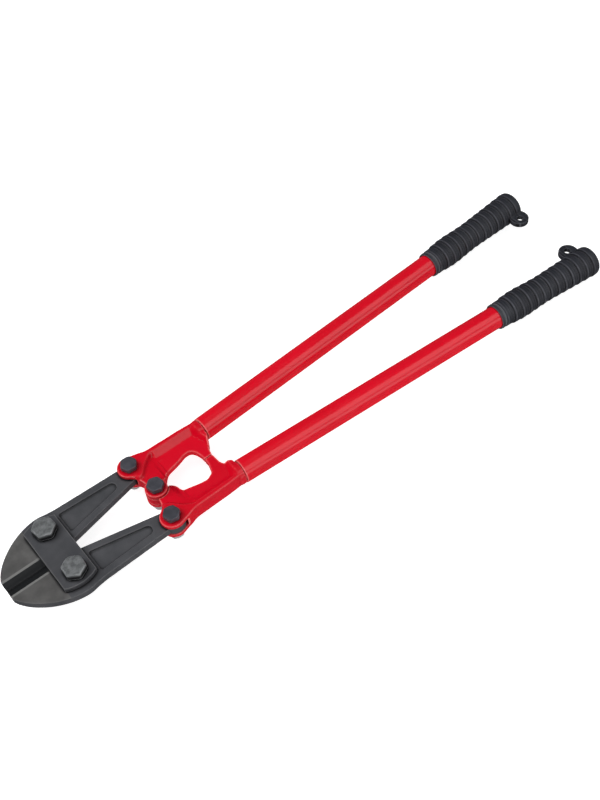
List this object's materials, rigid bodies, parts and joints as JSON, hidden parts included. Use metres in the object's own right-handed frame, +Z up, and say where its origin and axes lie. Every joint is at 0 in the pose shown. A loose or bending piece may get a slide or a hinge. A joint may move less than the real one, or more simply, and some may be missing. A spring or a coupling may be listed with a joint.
{
  "type": "bolt cutters",
  "caption": "Long-handled bolt cutters with forged centre-cut jaws on tie plates, compound lever heads, round tube handles and ribbed grips with hanging loops.",
  "frame": {"origin": "centre of the bounding box, at its bottom, on the surface the closed tool lies on", "axes": "+X from the jaws towards the grips, +Y across the handles, +Z up from the surface, along every pivot bolt"},
  "size_m": [0.6096, 0.1336, 0.0371],
  "materials": {
    "red_paint": "glossy enamel",
    "black_steel": "black oxide, satin, ground bright at the blades",
    "zinc_steel": "dull zinc plate",
    "black_fastener": "black oxide, oiled",
    "black_rubber": "matt moulded rubber"
  },
  "bodies": {
    "lower_handle": {"lower_handle_head": "red_paint", "lower_handle_tube": "red_paint", "lower_grip": "black_rubber", "lower_link_bolt": "black_fastener", "lower_link_nut": "zinc_steel"},
    "upper_handle": {"upper_handle_head": "red_paint", "upper_handle_tube": "red_paint", "upper_grip": "black_rubber", "upper_link_bolt": "black_fastener", "upper_link_nut": "zinc_steel", "center_bolt": "black_fastener", "center_nut": "zinc_steel"},
    "lower_jaw": {"lower_jaw": "black_steel"},
    "upper_jaw": {"upper_jaw": "black_steel"},
    "tie_plates": {"front_tie_plate": "black_steel", "back_tie_plate": "black_steel", "upper_jaw_bolt": "zinc_steel", "upper_jaw_nut": "zinc_steel", "lower_jaw_bolt": "zinc_steel", "lower_jaw_nut": "zinc_steel"}
  },
  "joints": [
    {"name": "center_pivot", "type": "hinge", "parent": "lower_handle", "child": "upper_handle", "pos_m": [-0.1609, 0, 0.021], "axis": [0, 0, 1], "range_deg": [0, 80]},
    {"name": "lower_link_pivot", "type": "hinge", "parent": "lower_handle", "child": "lower_jaw", "pos_m": [-0.1665, -0.0323, 0.021], "axis": [0, 0, 1], "range_deg": [0, 46.64]},
    {"name": "lower_jaw_pivot", "type": "hinge", "parent": "lower_jaw", "child": "tie_plates", "pos_m": [-0.2538, -0.0237, 0.021], "axis": [0, 0, 1], "range_deg": [-6.64, 0]},
    {"name": "upper_link_pivot", "type": "hinge", "parent": "upper_handle", "child": "upper_jaw", "pos_m": [-0.1665, 0.0323, 0.021], "axis": [0, 0, 1], "range_deg": [-46.64, 0]}
  ],
  "couplings": [
    {"joint": "lower_link_pivot", "follows": "center_pivot", "ratio": 0.583},
    {"joint": "lower_jaw_pivot", "follows": "center_pivot", "ratio": -0.083},
    {"joint": "upper_link_pivot", "follows": "center_pivot", "ratio": -0.583}
  ]
}
